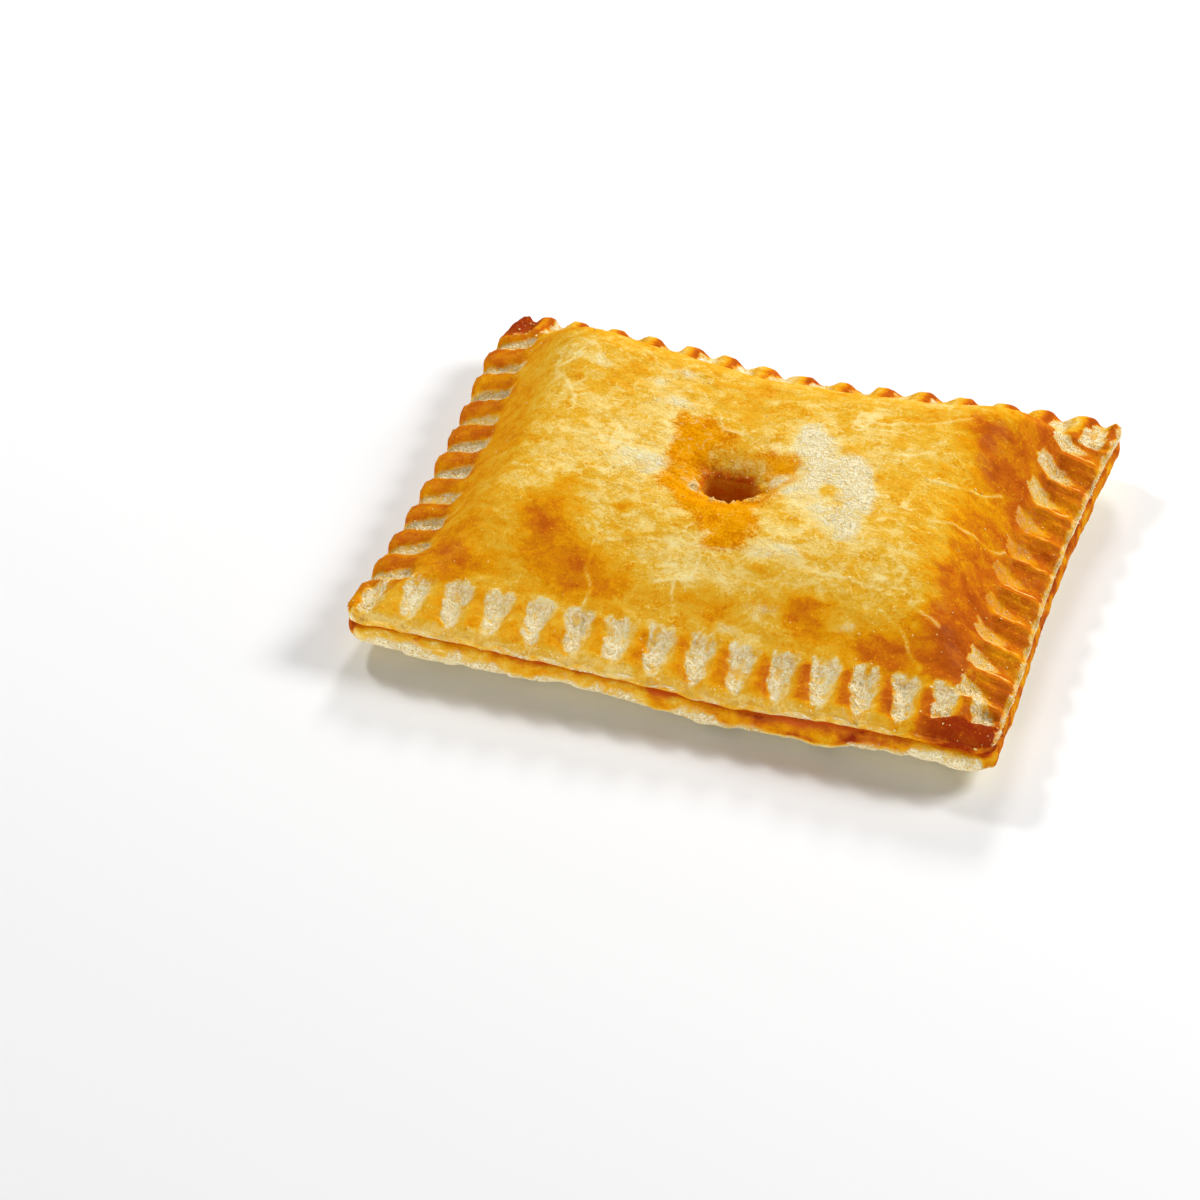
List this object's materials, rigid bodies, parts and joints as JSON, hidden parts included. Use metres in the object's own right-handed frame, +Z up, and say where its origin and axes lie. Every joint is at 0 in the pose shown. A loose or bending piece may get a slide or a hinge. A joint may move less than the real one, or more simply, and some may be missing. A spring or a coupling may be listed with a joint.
{
  "type": "tuna puff",
  "caption": "Whole baked puff-pastry turnover: a flat rectangle with a crimped border, a swollen golden lid and a small steam vent that shows the tuna and tomato filling.",
  "frame": {"origin": "middle of the bounding box on the tray, under the base", "axes": "+X along the long edges, +Y from the front edge to the back edge, +Z up"},
  "size_m": [0.1391, 0.107, 0.0307],
  "materials": {
    "pastry": "golden baked puff pastry, brushed with egg, browner on the ribs and floury in the crimp marks",
    "filling": "moist, lumpy tuna in tomato"
  },
  "bodies": {
    "root": {"pastry": "pastry", "filling": "filling"}
  },
  "joints": []
}
